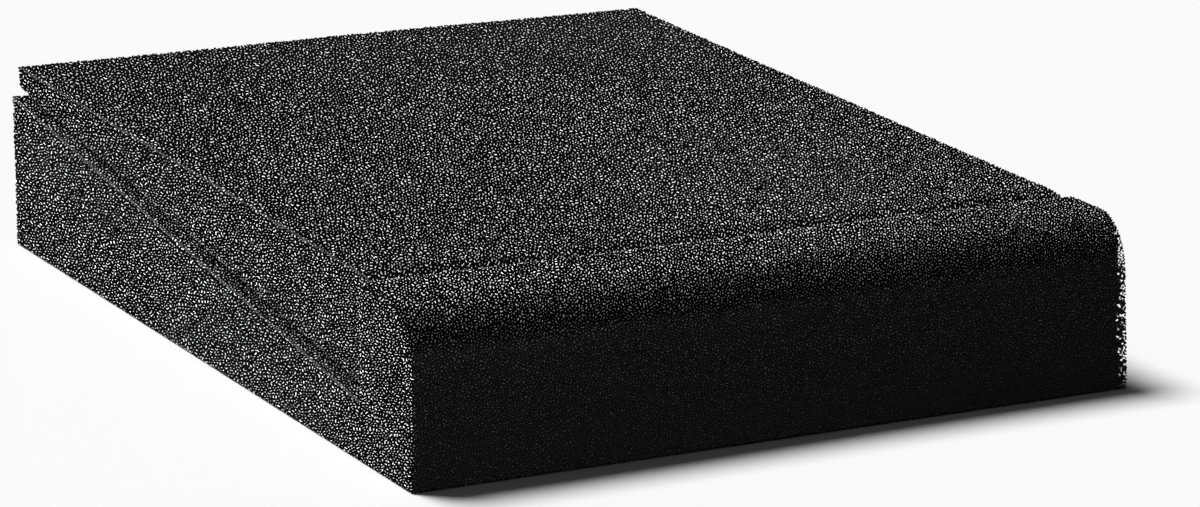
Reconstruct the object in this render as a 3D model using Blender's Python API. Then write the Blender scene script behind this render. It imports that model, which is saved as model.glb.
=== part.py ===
"""Two-piece isolation pad for a desktop loudspeaker, cut from open-cell foam.

The base block stands flat on a desk. Its top slopes down towards the front and ends in a notch behind an
upright stop lip. The loose wedge lies on that slope with its thick end against the lip, so the two slopes
nearly cancel and the speaker stands almost level. Units are metres, +Z is up, +Y runs to the back of the pad,
and the origin is the centre of the underside.
"""

import math

import bmesh
import bpy

# Base block
baseWidth = 0.200           # side to side, along X
baseLength = 0.272          # front face to back face, along Y
backHeight = 0.0435         # the slope's height at the back face
notchHeight = 0.0148        # the slope's height at the foot of the lip
lipThickness = 0.0290       # front face to the lip's back face
lipHeight = 0.0448          # top of the lip
lipNoseRadius = 0.0140      # round on the lip's front top edge
lipCrown = 0.0005           # the lip's top is this much higher at its back edge than where the round begins
noseSteps = 14              # facets round the nose

# Loose wedge
wedgeWidth = 0.198          # side to side
wedgeLength = 0.248         # thick end to thin end, measured level
thickEnd = 0.0290           # upright thickness against the lip
thinEnd = 0.0064            # upright thickness at the back
wedgeSideShift = 0.0030     # how far the loose wedge lies off the base's centre line, towards +X

# Fit and finish
seatGap = 0.0003            # between faces that touch
baseEdgeRound = 0.0008      # what the knife leaves on the base's corners
wedgeEdgeRound = 0.0006     # the same on the wedge's corners
edgeSteps = 2

# Foam colours, linear
baseColour = (0.045, 0.045, 0.047, 1.0)
wedgeColour = (0.042, 0.042, 0.044, 1.0)
foamRoughness = 0.92

# Places worked out from the sizes above
frontY = -baseLength / 2
backY = frontY + baseLength
lipBackY = frontY + lipThickness
slopePitch = (backHeight - notchHeight) / (backY - lipBackY)


def clearScene():
    for item in list(bpy.data.objects):
        bpy.data.objects.remove(item, do_unlink=True)


def foamMaterial(name, colour):
    material = bpy.data.materials.new(name)
    material.use_nodes = True
    shader = material.node_tree.nodes["Principled BSDF"]
    shader.inputs["Base Color"].default_value = colour
    shader.inputs["Roughness"].default_value = foamRoughness
    shader.inputs["Metallic"].default_value = 0.0
    shader.inputs["Specular IOR Level"].default_value = 0.3
    material.diffuse_color = colour
    return material


def slopeHeight(y):
    """Height of the base's sloping top above the underside, at a place along the pad."""
    return notchHeight + slopePitch * (y - lipBackY)


def noseArc():
    """Points round the lip's front top edge, from the upright front face up to the lip's top."""
    top = lipHeight - lipCrown
    centreY = frontY + lipNoseRadius
    centreZ = top - lipNoseRadius
    points = []
    for step in range(noseSteps + 1):
        angle = math.pi - step / noseSteps * math.pi / 2
        points.append((centreY + lipNoseRadius * math.cos(angle), centreZ + lipNoseRadius * math.sin(angle)))
    return points


def baseOutline():
    """The base seen from its side, as (y, z) points: underside, back, slope, notch, lip and nose."""
    outline = [(frontY, 0.0), (backY, 0.0), (backY, backHeight), (lipBackY, notchHeight), (lipBackY, lipHeight)]
    outline.extend(reversed(noseArc()))
    return outline


def wedgeOutline():
    """The wedge seen from its side: it follows the base's slope one seat gap above it."""
    thickY = lipBackY + seatGap
    thinY = thickY + wedgeLength
    thickZ = slopeHeight(thickY) + seatGap
    thinZ = slopeHeight(thinY) + seatGap
    return [(thickY, thickZ), (thinY, thinZ), (thinY, thinZ + thinEnd), (thickY, thickZ + thickEnd)]


def cutBlock(name, outline, width, centreX, originY, originZ, material):
    """A foam block with this side outline, as wide as given, with its origin at the given place."""
    mesh = bpy.data.meshes.new(name)
    form = bmesh.new()
    side = [form.verts.new((-width / 2, y - originY, z - originZ)) for y, z in outline]
    face = form.faces.new(side)
    swept = bmesh.ops.extrude_face_region(form, geom=[face])
    moved = [item for item in swept["geom"] if isinstance(item, bmesh.types.BMVert)]
    bmesh.ops.translate(form, verts=moved, vec=(width, 0.0, 0.0))
    bmesh.ops.recalc_face_normals(form, faces=form.faces)
    form.to_mesh(mesh)
    form.free()
    block = bpy.data.objects.new(name, mesh)
    block.location = (centreX, originY, originZ)
    block.data.materials.append(material)
    bpy.context.scene.collection.objects.link(block)
    return block


def softenEdges(block, radius):
    """A small round on the knife-cut corners, and smooth shading round the nose."""
    bevel = block.modifiers.new("knife_edge_round", "BEVEL")
    bevel.width = radius
    bevel.segments = edgeSteps
    bevel.limit_method = "ANGLE"
    bevel.angle_limit = math.radians(25)
    block.data.shade_smooth()
    block.data.set_sharp_from_angle(angle=math.radians(25))


def makeBaseBlock():
    foam = foamMaterial("base_foam", baseColour)
    block = cutBlock("base_block", baseOutline(), baseWidth, 0.0, 0.0, 0.0, foam)
    softenEdges(block, baseEdgeRound)
    return block


def makeWedgeInsert():
    """The wedge's origin is at its seat, at the foot of the lip, on the line it is lifted along."""
    foam = foamMaterial("wedge_foam", wedgeColour)
    outline = wedgeOutline()
    seatY, seatZ = outline[0]
    block = cutBlock("wedge_insert", outline, wedgeWidth, wedgeSideShift, seatY, seatZ, foam)
    softenEdges(block, wedgeEdgeRound)
    return block


def main():
    clearScene()
    base = makeBaseBlock()
    wedge = makeWedgeInsert()
    wedge.parent = base


main()
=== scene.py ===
import math

import bpy
import numpy as np
from mathutils import Matrix, Vector
from mathutils.geometry import delaunay_2d_cdt


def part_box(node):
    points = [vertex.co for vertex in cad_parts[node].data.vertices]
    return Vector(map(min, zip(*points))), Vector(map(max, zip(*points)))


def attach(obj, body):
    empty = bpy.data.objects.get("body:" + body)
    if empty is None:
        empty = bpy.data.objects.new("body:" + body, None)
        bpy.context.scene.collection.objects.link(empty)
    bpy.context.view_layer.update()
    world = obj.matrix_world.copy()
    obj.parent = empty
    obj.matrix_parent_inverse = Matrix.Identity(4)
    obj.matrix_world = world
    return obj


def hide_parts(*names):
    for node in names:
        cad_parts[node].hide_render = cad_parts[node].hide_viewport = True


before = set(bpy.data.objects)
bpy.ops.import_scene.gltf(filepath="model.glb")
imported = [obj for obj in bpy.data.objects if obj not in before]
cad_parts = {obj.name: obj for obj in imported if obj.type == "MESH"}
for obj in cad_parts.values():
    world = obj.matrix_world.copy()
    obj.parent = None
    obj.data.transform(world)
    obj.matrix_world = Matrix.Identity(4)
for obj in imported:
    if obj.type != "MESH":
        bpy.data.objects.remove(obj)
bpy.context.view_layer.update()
print("frame loaded")

# Open-cell foam: one set of values for both blocks (metres)
foam = {
    "cellSize": 0.00080,        # across one open cell
    "topCell": 0.00088,         # the same on the tops
    "hiddenCell": 0.00130,      # and on the faces that the blocks rest on
    "grainFrom": (-0.50, -1.01, 0.30),   # cells run long, and grow, away from this point
    "grainReach": 1.13,         # where they have the sizes above
    "grainStretch": 8.0,        # how much longer they are along their grain
    "jitter": 0.44,             # how irregular the cells are, as a share of their size
    "edgeJitter": 0.30,         # the same along a cut edge
    "evenness": 0.50,           # how far each cell then moves to the middle of its neighbours
    "edgeRoom": 0.50,           # cells keep this share of their size from a cut edge
    "outlineStep": 0.010,       # side outlines are split about this finely
    "endSteps": 30,             # places along a flat end where the grain is worked out
    "cellDepth": 0.00060,       # how far a cell's middle lies below its rim
    "depthSpread": 0.15,        # share by which that depth varies
    "pitLevel": -2.0,           # the mark of a cell's middle, where rims run from -1 to 1
    "joinWithin": 0.000001,     # corners this close become one
    "unlikeness": 4,            # how strictly high and low rims take turns
    "rimClip": 0.6,             # where that contrast is cut off
    "rimSpread": 0.35,          # share by which the rims' heights vary
    "rimSeed": 5,
    "rimScatter": 0.00021,      # how far rims stand in or out of the cut surface
    "innerRagged": 0.25,        # the share of it on the faces between the blocks
    "pitDrift": 0.00010,        # how far a cell's middle lies off its centre
    "waveLength": 0.12,         # of the blocks' waviness
    "waves": 4,                 # how many waves make it up in each direction
    "plainTone": 0.61,          # how pale the struts are
    "edgeHighlight": 0.74,           # and painted paler along a cut edge, as a highlight
    "edgeHighlightFill": 0.016,          # painted highlight: how much the pores are lifted along the edges towards the light
    "edgeBand": 0.0002,         # a cut edge's cells lie this close to an end
    "endBand": 0.0005,          # and what lies this close belongs to the end
    "mapGap": 0.003,            # between two sides on the map
    "mapWidth": 0.55,
}


def steppedLine(start, stop, size, draw):
    # Places about one cell apart, a little uneven, ends included
    steps = max(1, round(abs(stop - start) / size))
    places = np.linspace(start, stop, steps + 1)
    reach = foam["edgeJitter"]
    places[1:-1] += draw.uniform(-reach, reach, steps - 1) * abs(stop - start) / steps
    return places


def scattered(low, high, size, draw):
    # A hexagonal lattice over a rectangle, shaken out of line
    columns = max(1, int((high[0] - low[0]) / size))
    rows = max(1, int((high[1] - low[1]) / (size * math.sqrt(3) / 2)))
    u, v = (grid.ravel() for grid in np.meshgrid(np.arange(columns + 1), np.arange(rows + 1)))
    u = low[0] + (u + 0.5 * (v % 2)) * (high[0] - low[0]) / columns
    v = low[1] + v * (high[1] - low[1]) / rows
    reach = foam["jitter"] * size * np.sqrt(draw.random(len(u)))
    turn = draw.uniform(0, 2 * math.pi, len(u))
    spots = np.stack([u + reach * np.cos(turn), v + reach * np.sin(turn)], 1)
    return spots[((spots >= low) & (spots <= high)).all(1)]


def triangulated(spots, edges, loop):
    # With a loop only what lies inside it is kept
    flat = [Vector((float(u), float(v))) for u, v in spots * 1000]
    made = delaunay_2d_cdt(flat, edges, [loop] if loop else [], 1 if loop else 0, 1e-7)
    origin = np.array([old[0] for old in made[3]])
    return origin[np.array(made[2])]


def evened(spots, faces, fixed):
    # Moves all but the first points towards the middle of their neighbours
    total, near = np.zeros_like(spots), np.zeros(len(spots))
    for i in range(3):
        for j in range(3):
            if i != j:
                np.add.at(total, faces[:, i], spots[faces[:, j]])
                np.add.at(near, faces[:, i], 1)
    middle = total[fixed:] / near[fixed:, None]
    spots = spots.copy()
    spots[fixed:] += foam["evenness"] * (middle - spots[fixed:])
    return spots


def inside(spots, loop):
    # Which spots the loop goes round
    a, b = loop, np.roll(loop, -1, 0)
    rise = np.where(b[:, 1] == a[:, 1], 1.0, b[:, 1] - a[:, 1])
    crosses = (a[:, 1] > spots[:, 1, None]) != (b[:, 1] > spots[:, 1, None])
    at = a[:, 0] + (spots[:, 1, None] - a[:, 1]) * (b[:, 0] - a[:, 0]) / rise
    return (crosses & (spots[:, 0, None] < at)).sum(1) % 2 == 1


def clearance(spots, loop):
    # How far each spot is from the loop
    best = np.full(len(spots), np.inf)
    for start, stop in zip(loop, np.roll(loop, -1, 0)):
        run = stop - start
        share = np.clip((spots - start) @ run / (run @ run), 0, 1)
        best = np.minimum(best, np.linalg.norm(spots - start - share[:, None] * run, axis=1))
    return best


def cellLie(places, across):
    # How the grain squeezes, slants and swells the cells along a line of places on a face
    middles, steps = (places[1:] + places[:-1]) / 2, np.diff(places, axis=0)
    lengths = np.linalg.norm(steps, axis=1)
    grain, onward = middles - foam["grainFrom"], steps / lengths[:, None]
    far = np.linalg.norm(grain, axis=1)
    swell = far / foam["grainReach"]
    along, aside = ((grain * way).sum(1) / far for way in (onward, across))
    pull = 1 - 1 / foam["grainStretch"] ** 2
    a, b, c = 1 - pull * aside ** 2, -pull * aside * along, 1 - pull * along ** 2
    travel = summed(lengths * np.sqrt((c - b * b / a) / a) / swell)
    pace = summed(lengths * np.sqrt(c) / swell)
    swell = np.interp(travel, (travel[1:] + travel[:-1]) / 2, swell)
    return travel, summed(lengths * b / a), swell, pace


def summed(steps):
    return np.concatenate([[0.0], np.cumsum(steps)])


def cutEdges(starts, paces, pace, travel, lowX, highX, draw):
    # Knife-cut edges of the strip: across the block at each corner, then along both ends
    size, count = foam["cellSize"], len(starts) - 1
    across = steppedLine(lowX, highX, size, draw)
    spots, edges, sides = [], [], []
    for k, start in enumerate(starts):
        first = len(spots)
        spots += [(start, x) for x in across]
        sides += [k % count] * len(across)
        edges += [(first + i, first + i + 1) for i in range(len(across) - 1)]
    ends = []
    for x, column in ((lowX, 0), (highX, len(across) - 1)):
        loop = []
        for k in range(count):
            loop.append(k * len(across) + column)
            for reached in steppedLine(paces[k], paces[k + 1], size, draw)[1:-1]:
                loop.append(len(spots))
                spots.append((np.interp(reached, pace, travel), x))
                sides.append(k)
        ends.append(loop)
    return np.array(spots), np.array(sides), edges, ends, len(across)


def endCells(place, loop, x, isRight, draw):
    # A flat end: it has the strip's outer points for its border, and its own cells inside
    size = foam["cellSize"]
    y, z = place[loop, 1], place[loop, 2]
    line = np.linspace((x, y.min(), z.mean()), (x, y.max(), z.mean()), foam["endSteps"])
    travel, slide, swell, _ = cellLie(line, np.array((0.0, 0.0, 1.0)))
    s = np.interp(y, line[:, 1], travel)
    border = np.stack([s, (z + np.interp(s, travel, slide)) / np.interp(s, travel, swell)], 1)
    fill = scattered(border.min(0), border.max(0), size, draw)
    fill = fill[inside(fill, border)]
    fill = fill[clearance(fill, border) > foam["edgeRoom"] * size]
    flat = np.concatenate([border, fill])
    faces = triangulated(flat, [], list(range(len(loop))))
    flat = evened(flat, faces, len(loop))
    a, b, c = (flat[faces[:, i]] for i in range(3))
    turned = ((b - a)[:, 0] * (c - a)[:, 1] > (b - a)[:, 1] * (c - a)[:, 0]) != isRight
    faces[turned] = faces[turned][:, ::-1]
    s, across = flat[len(loop):].T
    z = across * np.interp(s, travel, swell) - np.interp(s, travel, slide)
    more = np.stack([np.full(len(s), x), np.interp(s, travel, line[:, 1]), z], 1)
    index = np.concatenate([loop, len(place) + np.arange(len(more))])
    return index[faces], more


def foamSkin(runs, lowX, highX, seed):
    # A closed skin of uneven triangles: a strip round the side outline and a flat cut at each end
    draw = np.random.default_rng(seed)
    room = foam["edgeRoom"] * foam["cellSize"]
    outline = np.concatenate([run["points"][:-1] for run in runs] + [runs[0]["points"][:1]])
    middle = np.column_stack([np.full(len(outline), (lowX + highX) / 2), outline])
    travel, slide, swell, pace = cellLie(middle, np.array((1.0, 0.0, 0.0)))
    corners = summed([len(run["points"]) - 1 for run in runs]).astype(int)
    starts = travel[corners]
    count = len(runs)

    def lie(values, lengthwise):
        return np.interp(lengthwise, travel, values)

    spots, sides, edges, ends, wide = cutEdges(starts, pace[corners], pace, travel, lowX, highX, draw)
    spots[:, 1] = (spots[:, 1] + lie(slide, spots[:, 0])) / lie(swell, spots[:, 0])
    spots, sides, bound = [spots], [sides], len(spots)
    for k in range(count):
        part = slice(corners[k], corners[k + 1] + 1)
        reach = [((edge + slide[part]) / swell[part]) for edge in (lowX, highX)]
        low, high = (starts[k] + room, np.min(reach)), (starts[k + 1] - room, np.max(reach))
        more = scattered(low, high, runs[k]["cell"], draw)
        x = more[:, 1] * lie(swell, more[:, 0]) - lie(slide, more[:, 0])
        more = more[(x > lowX + room) & (x < highX - room)]
        spots.append(more)
        sides.append(np.full(len(more), k))
    spots, sides = np.concatenate(spots), np.concatenate(sides)
    last = count * wide
    rim = list(range(wide)) + ends[1][1:]
    rim += list(range(last + wide - 1, last - 1, -1)) + ends[0][:0:-1]
    faces = triangulated(spots, edges, rim)
    spots = evened(spots, faces, bound)
    x = spots[:, 1] * lie(swell, spots[:, 0]) - lie(slide, spots[:, 0])
    place = np.stack([x, lie(outline[:, 0], spots[:, 0]), lie(outline[:, 1], spots[:, 0])], 1)
    a, b, c = (spots[faces[:, i]] for i in range(3))
    turned = (b - a)[:, 0] * (c - a)[:, 1] < (b - a)[:, 1] * (c - a)[:, 0]
    faces[turned] = faces[turned][:, ::-1]
    faces = np.where((faces >= last) & (faces < last + wide), faces - last, faces)

    allFaces = [faces]
    for end, (x, loop) in enumerate(zip((lowX, highX), ends)):
        faces, more = endCells(place, loop, x, bool(end), draw)
        allFaces.append(faces)
        place = np.concatenate([place, more])
        sides = np.concatenate([sides, np.full(len(more), count + end)])
    used, faces = np.unique(np.concatenate(allFaces), return_inverse=True)
    scatter = np.array([run["ragged"] for run in runs] + [1.0, 1.0])[sides[used]]
    cut = used < bound
    return place[used], faces.reshape(-1, 3), sides[used], scatter, cut


def skinObject(name, place, faces, sides, scatter, tone, fill, pores=None):
    # The skin as an object, with all that the tree and the materials read from it
    mesh = bpy.data.meshes.new(name)
    mesh.from_pydata(place, [], faces)
    mesh.attributes.new("side", "INT", "POINT").data.foreach_set("value", sides.astype(np.int32))
    mesh.attributes.new("tone", "FLOAT", "POINT").data.foreach_set("value", tone)
    mesh.attributes.new("fill", "FLOAT", "POINT").data.foreach_set("value", fill)
    if pores is not None:
        mesh.attributes.new("open", "FLOAT", "POINT").data.foreach_set("value", pores)
    ragged = scatter[faces].min(1)
    mesh.attributes.new("ragged", "FLOAT", "FACE").data.foreach_set("value", ragged)
    skin = bpy.data.objects.new(name, mesh)
    bpy.context.scene.collection.objects.link(skin)
    print(name, "skin of", len(place), "cells")
    return skin


def addNode(tree, kind, spot, **settings):
    node = tree.nodes.new(kind)
    node.location = (spot[0] * 200, spot[1] * 160)
    for key, value in settings.items():
        setattr(node, key, value)
    return node


def product(tree, spot, one, other):
    times = addNode(tree, "ShaderNodeMath", spot, operation="MULTIPLY")
    tree.links.new(one, times.inputs[0])
    tree.links.new(other, times.inputs[1])
    return times.outputs[0]


def storedAs(tree, name, spot, geometry, value, kind="FLOAT", domain="POINT"):
    # Keeps a value on the mesh under this name, and gives the mesh with it
    store = addNode(tree, "GeometryNodeStoreNamedAttribute", spot, data_type=kind, domain=domain)
    store.inputs["Name"].default_value = name
    tree.links.new(geometry, store.inputs["Geometry"])
    tree.links.new(value, store.inputs["Value"])
    return store.outputs["Geometry"]


def unlikeHeights(tree, seed):
    # A chance height for each rim, held against its neighbours', so that no broad lumps appear
    link = tree.links.new
    chance = addNode(tree, "FunctionNodeRandomValue", (0, -2), data_type="FLOAT")
    chance.inputs["Min"].default_value = -1.0
    link(seed, chance.inputs["Seed"])
    reached = chance.outputs["Value"]
    for step in range(foam["unlikeness"]):
        around = addNode(tree, "GeometryNodeBlurAttribute", (1, -2 - step), data_type="FLOAT")
        around.inputs["Iterations"].default_value = 1
        link(reached, around.inputs["Value"])
        against = addNode(tree, "ShaderNodeMath", (2, -2 - step), operation="SUBTRACT")
        link(reached, against.inputs[0])
        link(around.outputs["Value"], against.inputs[1])
        clipped = addNode(tree, "ShaderNodeMapRange", (2.5, -2 - step), clamp=True)
        clipped.inputs["From Min"].default_value = -foam["rimClip"]
        clipped.inputs["From Max"].default_value = foam["rimClip"]
        clipped.inputs["To Min"].default_value = -1.0
        link(against.outputs[0], clipped.inputs["Value"])
        reached = clipped.outputs["Result"]
    uneven = addNode(tree, "FunctionNodeRandomValue", (0, -8), data_type="FLOAT")
    uneven.inputs["Min"].default_value = 1.0 - foam["rimSpread"]
    uneven.inputs["Seed"].default_value = foam["rimSeed"]
    return product(tree, (2, -8), reached, uneven.outputs["Value"])


def raggedRims(tree, given, cells, lift):
    # Rims stand in and out of the cut surface
    link = tree.links.new
    normal = addNode(tree, "GeometryNodeInputNormal", (3, -3))
    noted = storedAs(tree, "lift", (2, 0), cells, unlikeHeights(tree, given["Seed"]))
    faced = storedAs(tree, "outward", (3, 0), noted, normal.outputs["Normal"], "FLOAT_VECTOR", "FACE")
    ragged = addNode(tree, "GeometryNodeInputNamedAttribute", (2, -5), data_type="FLOAT")
    ragged.inputs["Name"].default_value = "ragged"
    reach = product(tree, (3, -2), lift, given["Rim Scatter"])
    local = product(tree, (4, -2), reach, ragged.outputs["Attribute"])
    push = addNode(tree, "ShaderNodeVectorMath", (5, -2), operation="SCALE")
    link(normal.outputs["Normal"], push.inputs[0])
    link(local, push.inputs["Scale"])
    rims = addNode(tree, "GeometryNodeSetPosition", (5, 0))
    link(faced, rims.inputs["Geometry"])
    link(push.outputs["Vector"], rims.inputs["Offset"])
    return rims.outputs["Geometry"]


def sunkCells(tree, given, rims, lift):
    # Each cell sinks to a point
    link = tree.links.new
    spread = addNode(tree, "FunctionNodeRandomValue", (5, -3), data_type="FLOAT")
    link(given["Seed"], spread.inputs["Seed"])
    for row, operation, end in ((-4, "SUBTRACT", "Min"), (-5, "ADD", "Max")):
        share = addNode(tree, "ShaderNodeMath", (4, row), operation=operation)
        share.inputs[0].default_value = 1.0
        link(given["Depth Spread"], share.inputs[1])
        link(share.outputs[0], spread.inputs[end])
    depth = product(tree, (6, -3), spread.outputs["Value"], given["Cell Depth"])
    sink = addNode(tree, "ShaderNodeMath", (7, -3), operation="MULTIPLY")
    sink.inputs[1].default_value = -1.0
    link(depth, sink.inputs[0])
    pits = addNode(tree, "GeometryNodeExtrudeMesh", (8, 0), mode="FACES")
    pits.inputs["Individual"].default_value = True
    link(rims, pits.inputs["Mesh"])
    link(sink.outputs[0], pits.inputs["Offset Scale"])
    level = addNode(tree, "GeometryNodeSwitch", (9, -2), input_type="FLOAT")
    level.inputs["True"].default_value = foam["pitLevel"]
    link(pits.outputs["Top"], level.inputs["Switch"])
    link(lift, level.inputs["False"])
    stored = storedAs(tree, "lift", (9, 0), pits.outputs["Mesh"], level.outputs["Output"])
    closed = addNode(tree, "GeometryNodeScaleElements", (10, 0), domain="FACE")
    closed.inputs["Scale"].default_value = 0.0
    link(stored, closed.inputs["Geometry"])
    link(pits.outputs["Top"], closed.inputs["Selection"])
    merged = addNode(tree, "GeometryNodeMergeByDistance", (11, 0))
    merged.inputs["Distance"].default_value = foam["joinWithin"]
    link(closed.outputs["Geometry"], merged.inputs["Geometry"])
    return merged.outputs["Geometry"]


def driftedMiddles(tree, given, cells, lift):
    # The middles lie a little off centre
    link = tree.links.new
    deep = addNode(tree, "FunctionNodeCompare", (11, -2), data_type="FLOAT", operation="LESS_EQUAL")
    deep.inputs["B"].default_value = foam["pitLevel"]
    link(lift, deep.inputs["A"])
    wander = addNode(tree, "FunctionNodeRandomValue", (10, -3), data_type="FLOAT_VECTOR")
    wander.inputs["Min"].default_value = (-1.0, -1.0, -1.0)
    link(given["Seed"], wander.inputs["Seed"])
    drift = addNode(tree, "ShaderNodeVectorMath", (11, -3), operation="SCALE")
    link(wander.outputs["Value"], drift.inputs[0])
    link(given["Pit Drift"], drift.inputs["Scale"])
    drifted = addNode(tree, "GeometryNodeSetPosition", (12, 0))
    link(cells, drifted.inputs["Geometry"])
    link(deep.outputs["Result"], drifted.inputs["Selection"])
    link(drift.outputs["Vector"], drifted.inputs["Offset"])
    return drifted.outputs["Geometry"]


def openCellTree():
    # Every cell of a skin becomes an open pit with a ragged rim
    tree = bpy.data.node_groups.new("openCells", "GeometryNodeTree")
    face = tree.interface
    face.new_socket("Geometry", in_out="INPUT", socket_type="NodeSocketGeometry")
    face.new_socket("Geometry", in_out="OUTPUT", socket_type="NodeSocketGeometry")
    for label in ("Cell Depth", "Depth Spread", "Rim Scatter", "Pit Drift"):
        face.new_socket(label, in_out="INPUT", socket_type="NodeSocketFloat")
    face.new_socket("Seed", in_out="INPUT", socket_type="NodeSocketInt")
    face.new_socket("Foam", in_out="INPUT", socket_type="NodeSocketMaterial")
    link = tree.links.new
    given = addNode(tree, "NodeGroupInput", (0, 0)).outputs
    dual = addNode(tree, "GeometryNodeDualMesh", (1, 0))
    link(given["Geometry"], dual.inputs["Mesh"])
    lift = addNode(tree, "GeometryNodeInputNamedAttribute", (2, -4), data_type="FLOAT")
    lift.inputs["Name"].default_value = "lift"
    cells = raggedRims(tree, given, dual.outputs["Dual Mesh"], lift.outputs["Attribute"])
    cells = sunkCells(tree, given, cells, lift.outputs["Attribute"])
    cells = driftedMiddles(tree, given, cells, lift.outputs["Attribute"])
    rounded = addNode(tree, "GeometryNodeSetShadeSmooth", (13, 0))
    link(cells, rounded.inputs["Geometry"])
    whole = addNode(tree, "GeometryNodeRealizeInstances", (14, 0))
    link(rounded.outputs["Geometry"], whole.inputs["Geometry"])
    dressed = addNode(tree, "GeometryNodeSetMaterial", (15, 0))
    link(whole.outputs["Geometry"], dressed.inputs["Geometry"])
    link(given["Foam"], dressed.inputs["Material"])
    result = addNode(tree, "NodeGroupOutput", (16, 0))
    link(dressed.outputs["Geometry"], result.inputs["Geometry"])
    return tree


def grown(skin, tree, seed, material):
    # Runs the tree on a skin and keeps the result as a plain mesh
    modifier = skin.modifiers.new("openCells", "NODES")
    modifier.node_group = tree
    values = {
        "Cell Depth": foam["cellDepth"], "Depth Spread": foam["depthSpread"],
        "Rim Scatter": foam["rimScatter"], "Pit Drift": foam["pitDrift"],
        "Seed": seed, "Foam": material,
    }
    for item in tree.interface.items_tree:
        if item.in_out == "INPUT" and item.name in values:
            modifier[item.identifier] = values[item.name]
    bpy.context.view_layer.update()
    shaped = skin.evaluated_get(bpy.context.evaluated_depsgraph_get())
    mesh = bpy.data.meshes.new_from_object(shaped)
    plainSkin = skin.data
    skin.modifiers.remove(modifier)
    skin.data = mesh
    bpy.data.meshes.remove(plainSkin)
    mesh.name = skin.name
    print(skin.name, "has", len(mesh.polygons), "faces")


def unrolled(piece, runs):
    # One flat patch of the map for each side and end, at one scale
    mesh = piece.data
    facing = [run["facing"] for run in runs] + [(1.0, 0.0)] * 2
    corners = np.empty(len(mesh.loops), np.int32)
    mesh.loops.foreach_get("vertex_index", corners)
    totals = np.empty(len(mesh.polygons), np.int32)
    mesh.polygons.foreach_get("loop_total", totals)
    places = np.empty(len(mesh.vertices) * 3, np.float32)
    mesh.vertices.foreach_get("co", places)
    places = places.reshape(-1, 3)[corners]
    side = np.empty(len(mesh.polygons), np.int32)
    mesh.attributes["side"].data.foreach_get("value", side)
    side = np.repeat(side, totals)
    laid = np.zeros((len(corners), 2))
    gap, width = foam["mapGap"], foam["mapWidth"]
    shelf, reach, tall = 0.0, 0.0, 0.0
    for k, way in enumerate(facing):
        mine = side == k
        if not mine.any():
            continue
        u = places[mine][:, 1:] @ np.array(way)
        v = places[mine][:, 0] if k < len(runs) else places[mine][:, 2]
        spanU, spanV = u.max() - u.min(), v.max() - v.min()
        if reach + spanU > width:
            shelf, reach, tall = shelf + tall + gap, 0.0, 0.0
        laid[mine, 0] = u - u.min() + reach
        laid[mine, 1] = v - v.min() + shelf
        reach += spanU + gap
        tall = max(tall, spanV)
    laid = (laid + gap / 2) / (width + 2 * gap)
    layer = mesh.uv_layers.new(name="OFBake")
    layer.data.foreach_set("uv", laid.astype(np.float32).ravel())
    mesh.attributes.remove(mesh.attributes["side"])


def smooth(value, low, high):
    # 0 up to low, 1 from high on, and eased in between
    share = np.clip((value - low) / (high - low), 0, 1)
    return share * share * (3 - 2 * share)


def wavy(place, draw, height):
    # Gentle unevenness of soft foam: a few broad sine waves, one set for each direction
    move = np.zeros_like(place)
    for axis in range(3):
        for _ in range(foam["waves"]):
            way = draw.normal(size=3)
            way *= 2 * math.pi / (foam["waveLength"] * np.linalg.norm(way))
            move[:, axis] += np.sin(place @ way + draw.uniform(0, 2 * math.pi))
    return move * height / foam["waves"]


def onEnds(x, low, high):
    # The outermost cells of the two flat ends
    return (x < low.x + foam["edgeBand"]) | (x > high.x - foam["edgeBand"])


def betweenEnds(x, low, high):
    return (x > low.x + foam["endBand"]) & (x < high.x - foam["endBand"])


def faded(share, level):
    # 1 where the share is 0, and the given level where it is 1
    return 1 - (1 - level) * share


# The finish of both blocks
foamLook = {
    # the struts' pale colour is painted light, and the pores' near-black is painted shade
    "litStrutColour": (0.85, 0.85, 0.86, 1.0),
    "poreShadeColour": (0.0010, 0.0010, 0.0011, 1.0),
    "litFrom": 0.14,            # struts this far out of the surface begin to be painted lit
    "litFully": 0.76,
    "strutRoughness": 0.62,
    "poreRoughness": 0.92,
    "gloss": 0.0,               # open foam has none
    "wear": 0.15,               # how much the tone drifts
    "driftScale": 26.0,
    "driftDetail": 3.0,
    "grazing": 0.15,            # struts are painted darker, as shade, where the view is flatter than this
    "grazingFall": 3.0,         # and this says how quickly
    "bump": 0.3,                # how strongly struts stand out in the shading
    "bumpHeight": 0.0002,
}
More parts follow.
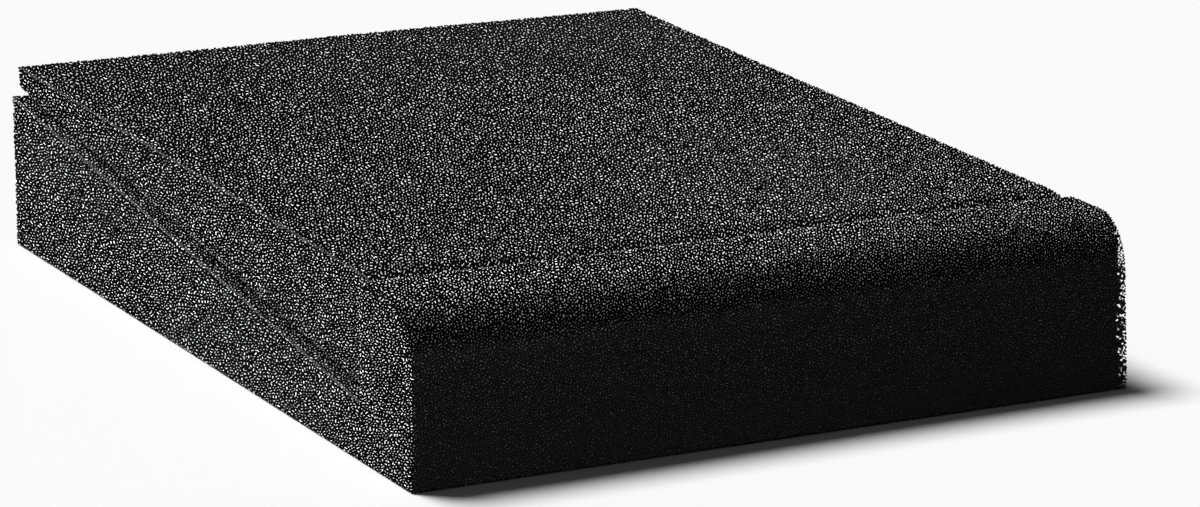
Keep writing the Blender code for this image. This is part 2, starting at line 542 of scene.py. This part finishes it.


# What several materials share: painted light on struts that stand out, painted shade in the pores, and
# a slow drift of tone
def porousGroup():
    group = bpy.data.node_groups.new("openCellTone", "ShaderNodeTree")
    face = group.interface
    face.new_socket("Place", in_out="INPUT", socket_type="NodeSocketVector")
    for label in ("Lit Strut Colour", "Pore Shade Colour"):
        face.new_socket(label, in_out="INPUT", socket_type="NodeSocketColor")
    for label in ("Lift", "Tone", "Fill", "Facing", "Hole Level", "Lit From", "Lit Fully", "Wear"):
        face.new_socket(label, in_out="INPUT", socket_type="NodeSocketFloat")
    face.new_socket("Colour", in_out="OUTPUT", socket_type="NodeSocketColor")
    for label in ("Roughness", "Height", "Alpha"):
        face.new_socket(label, in_out="OUTPUT", socket_type="NodeSocketFloat")
    link = group.links.new
    given = addNode(group, "NodeGroupInput", (0, 0)).outputs

    # Painted light and shade: struts that stand out are painted lit, and deeper ones are painted black
    # as shade
    strut = addNode(group, "ShaderNodeMapRange", (3, 1), interpolation_type="SMOOTHSTEP")
    link(given["Lift"], strut.inputs["Value"])
    link(given["Lit From"], strut.inputs["From Min"])
    link(given["Lit Fully"], strut.inputs["From Max"])

    # Slow drift of tone, as on handled foam
    drift = addNode(group, "ShaderNodeTexNoise", (1, -3))
    drift.inputs["Scale"].default_value = foamLook["driftScale"]
    drift.inputs["Detail"].default_value = foamLook["driftDetail"]
    link(given["Place"], drift.inputs["Vector"])
    centred = addNode(group, "ShaderNodeMath", (2, -3), operation="SUBTRACT")
    centred.inputs[1].default_value = 0.5
    link(drift.outputs["Fac"], centred.inputs[0])
    worn = addNode(group, "ShaderNodeMath", (3, -3), operation="MULTIPLY_ADD")
    worn.inputs[2].default_value = 1.0
    link(centred.outputs[0], worn.inputs[0])
    link(given["Wear"], worn.inputs[1])
    toned = product(group, (4, 1), strut.outputs["Result"], given["Tone"])
    shown = addNode(group, "ShaderNodeMath", (6, 0), operation="ADD")
    link(product(group, (5, 0), worn.outputs[0], toned), shown.inputs[0])
    link(given["Fill"], shown.inputs[1])
    colour = addNode(group, "ShaderNodeMix", (7, 0), data_type="RGBA")
    link(product(group, (6.5, 0), shown.outputs[0], given["Facing"]), colour.inputs["Factor"])
    link(given["Pore Shade Colour"], colour.inputs["A"])
    link(given["Lit Strut Colour"], colour.inputs["B"])
    matt = addNode(group, "ShaderNodeMapRange", (7, -2))
    matt.inputs["To Min"].default_value = foamLook["poreRoughness"]
    matt.inputs["To Max"].default_value = foamLook["strutRoughness"]
    link(shown.outputs[0], matt.inputs["Value"])

    # What lies deeper than the given level is a hole
    solid = addNode(group, "ShaderNodeMath", (7, -4), operation="GREATER_THAN")
    link(given["Lift"], solid.inputs[0])
    link(given["Hole Level"], solid.inputs[1])
    result = addNode(group, "NodeGroupOutput", (8, 0))
    link(solid.outputs[0], result.inputs["Alpha"])
    link(colour.outputs["Result"], result.inputs["Colour"])
    link(matt.outputs["Result"], result.inputs["Roughness"])
    link(strut.outputs["Result"], result.inputs["Height"])
    return group


def grazingShade(tree):
    # Painted shade: struts seen at a flat angle of view are painted darker
    link = tree.links.new
    outward = addNode(tree, "ShaderNodeAttribute", (-2, -5), attribute_name="outward")
    turned = addNode(tree, "ShaderNodeVectorTransform", (-1, -5), vector_type="NORMAL")
    turned.convert_from, turned.convert_to = "OBJECT", "WORLD"
    seen = addNode(tree, "ShaderNodeNewGeometry", (-1, -6.5))
    met = addNode(tree, "ShaderNodeVectorMath", (0, -5.5), operation="DOT_PRODUCT")
    steep = addNode(tree, "ShaderNodeMath", (0.6, -5.5), operation="ABSOLUTE")
    share = addNode(tree, "ShaderNodeMapRange", (1.2, -5.5), clamp=True)
    share.inputs["From Max"].default_value = foamLook["grazing"]
    facing = addNode(tree, "ShaderNodeMath", (1.6, -5.5), operation="POWER")
    facing.inputs[1].default_value = foamLook["grazingFall"]
    link(outward.outputs["Vector"], turned.inputs["Vector"])
    link(turned.outputs["Vector"], met.inputs[0])
    link(seen.outputs["Incoming"], met.inputs[1])
    link(met.outputs["Value"], steep.inputs[0])
    link(steep.outputs[0], share.inputs["Value"])
    link(share.outputs["Result"], facing.inputs[0])
    return facing.outputs[0]


def foamMaterial(name, holeLevel=None):
    material = bpy.data.materials.new(name)
    material.use_nodes = True
    tree = material.node_tree
    link = tree.links.new
    shader = tree.nodes["Principled BSDF"]
    shader.location = (900, 0)
    tree.nodes["Material Output"].location = (1200, 0)
    shader.inputs["Specular IOR Level"].default_value = foamLook["gloss"]
    tone = addNode(tree, "ShaderNodeGroup", (2, 0), node_tree=foamTone)
    for label, key in (("Lit Strut Colour", "litStrutColour"), ("Pore Shade Colour", "poreShadeColour"),
                       ("Lit From", "litFrom"), ("Lit Fully", "litFully"), ("Wear", "wear")):
        tone.inputs[label].default_value = foamLook[key]
    place = addNode(tree, "ShaderNodeTexCoord", (0, 1))
    link(place.outputs["Object"], tone.inputs["Place"])
    for row, label in ((-1, "Lift"), (-2.5, "Tone"), (-4, "Fill")):
        kept = addNode(tree, "ShaderNodeAttribute", (0, row), attribute_name=label.lower())
        link(kept.outputs["Fac"], tone.inputs[label])
    link(grazingShade(tree), tone.inputs["Facing"])
    bump = addNode(tree, "ShaderNodeBump", (3.4, -1))
    bump.inputs["Strength"].default_value = foamLook["bump"]
    bump.inputs["Distance"].default_value = foamLook["bumpHeight"]
    link(tone.outputs["Colour"], shader.inputs["Base Color"])
    link(tone.outputs["Roughness"], shader.inputs["Roughness"])
    link(tone.outputs["Height"], bump.inputs["Height"])
    link(bump.outputs["Normal"], shader.inputs["Normal"])
    if holeLevel is not None:
        tone.inputs["Hole Level"].default_value = holeLevel
        link(tone.outputs["Alpha"], shader.inputs["Alpha"])
    return material


foamTree = openCellTree()
foamTone = porousGroup()
print("foam tree and tone ready")

# The base block: side outline (metres) and finish
baseBlock = {
    "lipThickness": 0.0290,
    "notchHeight": 0.0148,
    "backHeight": 0.0435,
    "noseRadius": 0.0140,
    "lipBackRound": 0.0012,
    "lipCrown": 0.0005,
    "frontLean": 0.0026,        # the front face leans back by this at its right end
    "frontBulge": 0.0009,       # and stands forward by this at its left end
    "leanReach": 0.020,         # neither is felt further back than this
    "waviness": 0.00035,
    "stillFoot": 0.006,         # there is none at the underside, and all of it from here up
    "stillNotch": ((0.027, 0.034), (0.010, 0.016)),   # and none this far back and this high up
    "ledgeShade": 0.84,          # painted shade on the slope beside the wedge, against the rest
    "ledgeShadeFrom": (0.001, 0.004),               # in from the left end
    "noseAngles": (0, 22, 45, 67, 90),         # from the upright front round to the flat top
    # painted light and shade over the nose at those angles
    "noseLightShade": (0.70, 0.50, 0.80, 1.32, 1.23),
    "noseLightFade": 0.10,          # share by which that painted light fades towards the right end
    "frontShadeAngles": (5, 40),     # the painted shade on the front ends between these
    "frontShadeRight": 0.30,          # share by which that painted shade darkens it towards the right end
    "footShade": 0.45,           # painted shade at its foot, against its top
    "seamShade": 0.30,           # painted shade on the cells where the lip meets the wedge
    "seamSpan": 0.0008,         # how far they lie from the middle of the seam
    "seamFrom": 0.020,          # and how high up they start
    "frontFillLight": 0.0255,        # painted fill light that lifts the shaded front's pores
    "fillAngles": (2, 34),      # which ends between these
    "fillFade": 0.25,           # and lessens by this share towards the right end
    "fillHeights": (0.005, 0.020),
    "fillLevels": (1.05, 0.95),                # below and above these heights
    "openReach": 0.0036,        # pores let light through this far from the front's right edge
    "openFront": 0.004,         # on what lies this near the front
    "openDepth": (0.006, 0.010),               # and this far back on the end beside it
    "openFade": 1.9,            # how quickly they get fewer
    "holeLevel": -0.55,         # how far down their holes start
    "seed": 11,
}


def arcPoints(centreY, centreZ, radius, start, stop, steps):
    angles = [math.radians(start + (stop - start) * step / steps) for step in range(steps + 1)]
    return [(centreY + radius * math.cos(a), centreZ + radius * math.sin(a)) for a in angles]


# A run is one smooth stretch of a side outline, between two knife-cut corners
def outlineRun(points, ragged, kind="side", facing=None):
    points = np.array(points)
    step = foam["outlineStep"]
    parts = [max(1, round(np.linalg.norm(b - a) / step)) for a, b in zip(points, points[1:])]
    fine = [np.linspace(a, b, n, endpoint=False) for a, b, n in zip(points, points[1:], parts)]
    points = np.concatenate(fine + [points[-1:]])
    reach = points[-1] - points[0]
    cell = {"side": foam["cellSize"], "top": foam["topCell"], "hidden": foam["hiddenCell"]}
    return {
        "points": points,
        "ragged": ragged,
        "cell": cell[kind],
        "facing": facing or tuple(reach / np.linalg.norm(reach)),
    }


def baseRuns():
    low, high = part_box("base_block")
    lipBack = low.y + baseBlock["lipThickness"]
    nose, small = baseBlock["noseRadius"], baseBlock["lipBackRound"]
    noseTop = high.z - baseBlock["lipCrown"]
    lip = [(lipBack, high.z - small)]
    lip += arcPoints(lipBack - small, high.z - small, small, 22, 90, 4)
    lip += arcPoints(low.y + nose, noseTop - nose, nose, 90, 180, 18)
    lip += [(low.y, 0.0)]
    notch, rear = (lipBack, baseBlock["notchHeight"]), (high.y, baseBlock["backHeight"])
    return [
        outlineRun([(low.y, 0.0), (high.y, 0.0)], 0.0, "hidden"),
        outlineRun([(high.y, 0.0), rear], 1.0),
        outlineRun([rear, notch], foam["innerRagged"]),
        outlineRun([notch, lip[0]], foam["innerRagged"], "hidden"),
        outlineRun(lip, 1.0, "top", facing=(-1.0, -1.0)),
    ]


def shapeBase(place, draw):
    # The lip's front leans unevenly from end to end, and the whole block is slightly wavy
    low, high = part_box("base_block")
    x, y, z = place.T
    right = smooth(x, low.x, high.x)
    height = np.clip(z / (high.z - baseBlock["noseRadius"]), 0, 1)
    front = 1 - smooth(y, low.y, low.y + baseBlock["leanReach"])
    move = wavy(place, draw, baseBlock["waviness"])
    above = smooth(z, 0.0, baseBlock["stillFoot"])
    (start, stop), heights = baseBlock["stillNotch"]
    notch = smooth(y, low.y + start, low.y + stop) * smooth(z, *heights)
    move *= (above * (1 - notch))[:, None]
    lean = baseBlock["frontLean"] * right - baseBlock["frontBulge"] * (1 - right)
    move[:, 1] += front * height * lean
    return place + move


def openPores(place, draw):
    # Cells along the upright right edge of the front go right through, fewer and fewer inwards
    low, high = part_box("base_block")
    x, y, z = place.T
    front = np.clip(1 - (high.x - x) / baseBlock["openReach"], 0, 1) ** baseBlock["openFade"]
    front *= (y < low.y + baseBlock["openFront"]) * (z > foam["endBand"])
    start, stop = baseBlock["openDepth"]
    atEnd = np.isclose(x, high.x) * (1 - smooth(y, low.y + start, low.y + stop))
    return (draw.random(len(place)) < np.maximum(front, atEnd)) * 1.0


def baseTone(place, cut):
    # Painted highlight on the cut edges, and painted shade on the ledge beside the wedge
    low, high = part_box("base_block")
    x, y, z = place.T
    inner, near = betweenEnds(x, low, high), foam["endBand"]
    right = smooth(x, low.x, high.x)
    fromSeam = y - low.y - baseBlock["lipThickness"]
    tone = np.full(len(place), foam["plainTone"])
    tone[cut & (z > 2 * near) & onEnds(x, low, high)] = foam["edgeHighlight"]
    behind = y > low.y + baseBlock["lipThickness"] + 2 * near
    slope = behind & inner & (z > baseBlock["notchHeight"] - 2 * near)
    start, stop = baseBlock["ledgeShadeFrom"]
    tone[slope] *= faded(smooth(x, low.x + start, low.x + stop), baseBlock["ledgeShade"])[slope]

    # Painted light and shade round the nose, where the angle runs from 0 on the upright front to 90 on
    # the top
    nose = baseBlock["noseRadius"]
    centreY, centreZ = low.y + nose, high.z - baseBlock["lipCrown"] - nose
    angle = np.degrees(np.arctan2(np.maximum(z - centreZ, 0), np.maximum(centreY - y, 0)))
    lip = inner & (y < low.y + baseBlock["lipThickness"] + near) & (z > near)
    lip = lip & ((y < low.y + near) | (z > centreZ))
    tone[lip] *= np.interp(angle, baseBlock["noseAngles"], baseBlock["noseLightShade"])[lip]
    tone[lip] *= (1 - baseBlock["noseLightFade"] * right)[lip]
    # Painted shade on the front, deeper at its foot and towards the right end
    front = lip * (1 - smooth(angle, *baseBlock["frontShadeAngles"]))
    foot = (1 - baseBlock["footShade"]) * (1 - smooth(z, 0.0, centreZ))
    tone *= 1 - front * (foot + baseBlock["frontShadeRight"] * right)
    # Painted fill light on the front's pores
    fill = front * (1 - smooth(angle, *baseBlock["fillAngles"])) * (1 - baseBlock["fillFade"] * right)
    below, above = baseBlock["fillLevels"]
    fill *= (below + (above - below) * smooth(z, *baseBlock["fillHeights"])) * baseBlock["frontFillLight"]

    # Painted shade at the seam behind the lip, and a painted highlight along the slope's left edge
    seam = inner & (z > baseBlock["seamFrom"]) & (abs(fromSeam + near) < baseBlock["seamSpan"])
    tone[seam] *= baseBlock["seamShade"]
    slopeLength = high.y - low.y - baseBlock["lipThickness"]
    slopeRise = (baseBlock["backHeight"] - baseBlock["notchHeight"]) / slopeLength
    line = baseBlock["notchHeight"] + fromSeam * slopeRise
    edge = behind & (abs(z - line) < foam["edgeBand"]) & (x < low.x + foam["edgeBand"])
    fill[edge] = foam["edgeHighlightFill"]
    return tone, fill


def pierce(block, material):
    # The marked cells get the material with holes
    mesh = block.data
    marks = np.empty(len(mesh.polygons), np.float32)
    mesh.attributes["open"].data.foreach_get("value", marks)
    mesh.materials.append(material)
    marked = marks > 0.5
    index = np.where(marked, len(mesh.materials) - 1, 0).astype(np.int32)
    mesh.polygons.foreach_set("material_index", index)
    mesh.attributes.remove(mesh.attributes["open"])
    print("open cells have", int(marked.sum()), "faces")


def makeBase():
    low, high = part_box("base_block")
    runs = baseRuns()
    seed = baseBlock["seed"]
    place, faces, sides, scatter, cut = foamSkin(runs, low.x, high.x, seed)
    tone, fill = baseTone(place, cut)
    pores = openPores(place, np.random.default_rng(seed + 2))
    place = shapeBase(place, np.random.default_rng(seed + 1))
    block = skinObject("base_foam", place, faces, sides, scatter, tone, fill, pores)
    grown(block, foamTree, seed, foamMaterial("baseFoam"))
    pierce(block, foamMaterial("openFoam", baseBlock["holeLevel"]))
    unrolled(block, runs)
    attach(block, "base")
    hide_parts("base_block")


# The loose wedge: side outline (metres) and finish
wedge = {
    "thickEnd": 0.0290,
    "thinEnd": 0.0064,
    "frontRound": 0.0022,       # the soft top edge behind the lip
    "flare": 0.0020,            # the right end is narrower in front and wider behind by this
    "waviness": 0.00030,
    "stillFoot": 0.004,         # there is none on its underside, and all of it from here up
    "lipShadeStrip": (0.007, 0.011),     # the strip of painted shade on its top ends this far behind the lip
    "lipShadeTone": 0.86,
    "farCornerShade": 0.80,         # painted shade on its far right corner
    "cornerFrom": (-0.06, -0.02),      # which begins here, along X and Y
    "endShade": 0.88,            # painted shade on its two flat ends
    "footShade": 0.85,           # and more painted shade on their lowest cells
    "footHeights": (0.0006, 0.0024),
    "farShade": 0.93,            # painted shade towards its far side
    "farSpan": (0.0, 0.09),
    "farFill": 0.003,           # and how much paler its pores are painted there
    "farFillFrom": 0.004,       # from this height over the underside up
    "farLeftShare": 0.3,        # and this share of it at the left end
    "nearRightLight": 1.10,      # painted light on the nearer right half of its top
    "nearRightSpan": ((-0.06, 0.08), (0.03, 0.10)),
    "wornDrop": 0.0009,         # its front top edge has sunk by this
    "wornReach": 0.008,
    "wornHeights": (0.012, 0.024),
    "tuckIn": 0.0006,           # its lower left edge lies in by this
    "tuckHeight": 0.0014,
    "tuckReach": 0.004,
    "seed": 23,
}


def wedgeRuns():
    low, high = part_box("wedge_insert")
    soft = wedge["frontRound"]
    topThick = low.z + wedge["thickEnd"]
    thick, thin = (low.y, low.z), (high.y, high.z - wedge["thinEnd"])
    top = [(high.y, high.z)] + arcPoints(low.y + soft, topThick - soft, soft, 92, 175, 6)
    return [
        outlineRun([thick, thin], foam["innerRagged"], "hidden"),
        outlineRun([thin, top[0]], 1.0),
        outlineRun(top, 1.0, "top"),
        outlineRun([top[-1], thick], foam["innerRagged"], "hidden"),
    ]


def heightOn(place, low, high):
    # How high each place lies over the wedge's sloping underside
    back = (place[:, 1] - low.y) / (high.y - low.y)
    return place[:, 2] - (low.z + back * (high.z - wedge["thinEnd"] - low.z))


def shapeWedge(place, draw):
    # It is slightly wavy, its right end flares, and its handled edges are no longer sharp
    low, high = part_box("wedge_insert")
    x, y, z = place.T
    right = smooth(x, (low.x + high.x) / 2, high.x)
    back = (y - low.y) / (high.y - low.y)
    above = heightOn(place, low, high)
    move = wavy(place, draw, wedge["waviness"])
    move[:, 1:] *= smooth(above, 0.0, wedge["stillFoot"])[:, None]
    move[:, 0] += right * wedge["flare"] * (2 * back - 1)
    left = 1 - smooth(x, low.x, low.x + wedge["tuckReach"])
    move[:, 0] += left * (1 - smooth(above, 0.0, wedge["tuckHeight"])) * wedge["tuckIn"]
    worn = 1 - smooth(y, low.y, low.y + wedge["wornReach"])
    move[:, 2] -= worn * smooth(above, *wedge["wornHeights"]) * wedge["wornDrop"]
    return place + move


def wedgeTone(place, cut):
    # Painted highlight on the cut edges, and painted shade on the strip of its top behind the lip
    low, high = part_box("wedge_insert")
    x, y, z = place.T
    inner, above = betweenEnds(x, low, high), heightOn(place, low, high)
    tone = np.full(len(place), foam["plainTone"])
    tone[cut & onEnds(x, low, high)] = foam["edgeHighlight"]
    start, stop = wedge["lipShadeStrip"]
    tone *= faded((1 - smooth(y, low.y + start, low.y + stop)) * inner, wedge["lipShadeTone"])
    fromX, fromY = wedge["cornerFrom"]
    tone *= faded(smooth(y, fromY, high.y) * smooth(x, fromX, high.x), wedge["farCornerShade"])
    tone *= faded(smooth(y, *wedge["farSpan"]) * inner, wedge["farShade"])
    spanX, spanY = wedge["nearRightSpan"]
    tone *= faded(smooth(x, *spanX) * (1 - smooth(y, *spanY)) * inner, wedge["nearRightLight"])
    tone[~inner] *= wedge["endShade"]
    tone[~inner] *= faded(1 - smooth(above, *wedge["footHeights"]), wedge["footShade"])[~inner]

    # Paler pores on the far side, and a painted highlight along the top's left edge
    leftShare = wedge["farLeftShare"]
    across = leftShare + (1 - leftShare) * smooth(x, low.x, high.x)
    top = inner * (above > wedge["farFillFrom"])
    fill = wedge["farFill"] * smooth(y, 0.0, high.y) * across * top
    thick = low.z + wedge["thickEnd"]
    line = thick + (y - low.y) / (high.y - low.y) * (high.z - thick)
    fill[(abs(z - line) < 1.5 * foam["edgeBand"]) & (x < low.x + foam["edgeBand"])] = foam["edgeHighlightFill"]
    return tone, fill


def makeWedge():
    low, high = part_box("wedge_insert")
    runs = wedgeRuns()
    seed = wedge["seed"]
    place, faces, sides, scatter, cut = foamSkin(runs, low.x, high.x, seed)
    tone, fill = wedgeTone(place, cut)
    place = shapeWedge(place, np.random.default_rng(seed + 1))
    block = skinObject("wedge_foam", place, faces, sides, scatter, tone, fill)
    grown(block, foamTree, seed, foamMaterial("wedgeFoam"))
    unrolled(block, runs)
    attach(block, "wedge")
    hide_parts("wedge_insert")


makeBase()
print("base block made")
makeWedge()
print("wedge made")

# The floor and the white behind it
studio = {
    "floorSize": 60.0,
    "white": 0.956,             # what the camera sees of floor and background
    "floorWhite": 0.900,        # the floor's colour under the key light
    "dim": 0.05,                # what the foam sees of both
    "lampsAround": (0.0, 0.0, 0.02),           # the lamps are set round this place
}


def seenWhite(tree, spot):
    # 1 for what the camera sees, directly or in gloss or glass
    light = addNode(tree, "ShaderNodeLightPath", spot)
    either = addNode(tree, "ShaderNodeMath", (spot[0] + 1, spot[1]), operation="MAXIMUM")
    seen = addNode(tree, "ShaderNodeMath", (spot[0] + 2, spot[1]), operation="MAXIMUM")
    tree.links.new(light.outputs["Is Camera Ray"], either.inputs[0])
    tree.links.new(light.outputs["Is Glossy Ray"], either.inputs[1])
    tree.links.new(either.outputs[0], seen.inputs[0])
    tree.links.new(light.outputs["Is Transmission Ray"], seen.inputs[1])
    return seen.outputs[0]


def makeFloor():
    half = studio["floorSize"] / 2
    mesh = bpy.data.meshes.new("floor")
    corners = [(-half, -half, 0), (half, -half, 0), (half, half, 0), (-half, half, 0)]
    mesh.from_pydata(corners, [], [(0, 1, 2, 3)])
    floor = bpy.data.objects.new("floor", mesh)
    bpy.context.scene.collection.objects.link(floor)
    material = bpy.data.materials.new("paleFloor")
    material.use_nodes = True
    tree = material.node_tree
    shader = tree.nodes["Principled BSDF"]
    shader.inputs["Roughness"].default_value = 1.0
    shader.inputs["Specular IOR Level"].default_value = 0.0
    mix = addNode(tree, "ShaderNodeMix", (-1, 0), data_type="RGBA")
    white, dim = studio["floorWhite"], studio["dim"]
    mix.inputs["A"].default_value = (dim, dim, dim, 1.0)
    mix.inputs["B"].default_value = (white, white, white, 1.0)
    tree.links.new(seenWhite(tree, (-4, 0)), mix.inputs["Factor"])
    tree.links.new(mix.outputs["Result"], shader.inputs["Base Color"])
    mesh.materials.append(material)


def makeWorld():
    world = bpy.data.worlds.new("studioWhite")
    bpy.context.scene.world = world
    world.use_nodes = True
    tree = world.node_tree
    background = tree.nodes["Background"]
    background.inputs["Color"].default_value = (1.0, 1.0, 1.0, 1.0)
    strength = addNode(tree, "ShaderNodeMapRange", (-1, 0))
    strength.inputs["To Min"].default_value = studio["dim"]
    strength.inputs["To Max"].default_value = studio["white"]
    tree.links.new(seenWhite(tree, (-4, 0)), strength.inputs["Value"])
    tree.links.new(strength.outputs["Result"], background.inputs["Strength"])


# Where each light comes from: degrees round from the front, degrees up
lights = {
    "key": {"azimuth": -150.0, "elevation": 65.5, "distance": 2.0, "strength": 3.50, "softness": 23.5},
    "overhead": {"azimuth": -80.0, "elevation": 76.0, "distance": 0.8, "size": 0.4, "power": 9.7},
    "left": {"azimuth": -92.0, "elevation": 5.0, "distance": 1.1, "size": 0.55, "power": 52.5},
    "back": {"azimuth": 135.0, "elevation": 20.0, "distance": 1.6, "size": 0.8, "power": 8.0},
    "front": {"azimuth": -25.0, "elevation": 25.0, "distance": 1.4, "size": 1.0, "power": 3.2},
}


def towards(azimuth, elevation):
    a, e = math.radians(azimuth), math.radians(elevation)
    return Vector((math.sin(a) * math.cos(e), -math.cos(a) * math.cos(e), math.sin(e)))


def makeLights():
    foamOnly = bpy.data.collections.new("foamOnly")
    for name in ("base_foam", "wedge_foam"):
        foamOnly.objects.link(bpy.data.objects[name])
    for name, given in lights.items():
        way = towards(given["azimuth"], given["elevation"])
        lamp = bpy.data.lights.new(name, "SUN" if name == "key" else "AREA")
        if name == "key":
            lamp.energy = given["strength"]
            lamp.angle = math.radians(given["softness"])
        else:
            lamp.shape = "DISK"
            lamp.size = given["size"]
            lamp.energy = given["power"]
        holder = bpy.data.objects.new(name, lamp)
        holder.location = way * given["distance"] + Vector(studio["lampsAround"])
        holder.rotation_euler = way.to_track_quat("Z", "Y").to_euler()
        bpy.context.scene.collection.objects.link(holder)
        if name != "key":
            holder.light_linking.receiver_collection = foamOnly


# The photograph's point of view (metres, degrees)
view = {
    "place": (-0.50056, -1.01187, 0.29993),
    "azimuth": -27.187,
    "elevation": 14.106,
    "roll": 0.107,
    "lens": 129.2,
    "sensor": 36.0,
}


def makeCamera():
    back = towards(view["azimuth"], view["elevation"])
    a, roll = math.radians(view["azimuth"]), math.radians(view["roll"])
    right = Vector((math.cos(a), math.sin(a), 0.0))
    up = back.cross(right)
    across = right * math.cos(roll) + up * math.sin(roll)
    upright = up * math.cos(roll) - right * math.sin(roll)
    lens = bpy.data.cameras.new("photoView")
    lens.lens = view["lens"]
    lens.sensor_width = view["sensor"]
    lens.clip_end = 200.0
    camera = bpy.data.objects.new("photoView", lens)
    turn = Matrix((across, upright, back)).transposed().to_4x4()
    camera.matrix_world = Matrix.Translation(view["place"]) @ turn
    bpy.context.scene.collection.objects.link(camera)
    bpy.context.scene.camera = camera


makeFloor()
makeWorld()
makeLights()
makeCamera()
bpy.context.scene.view_settings.view_transform = "Standard"
print("studio ready")
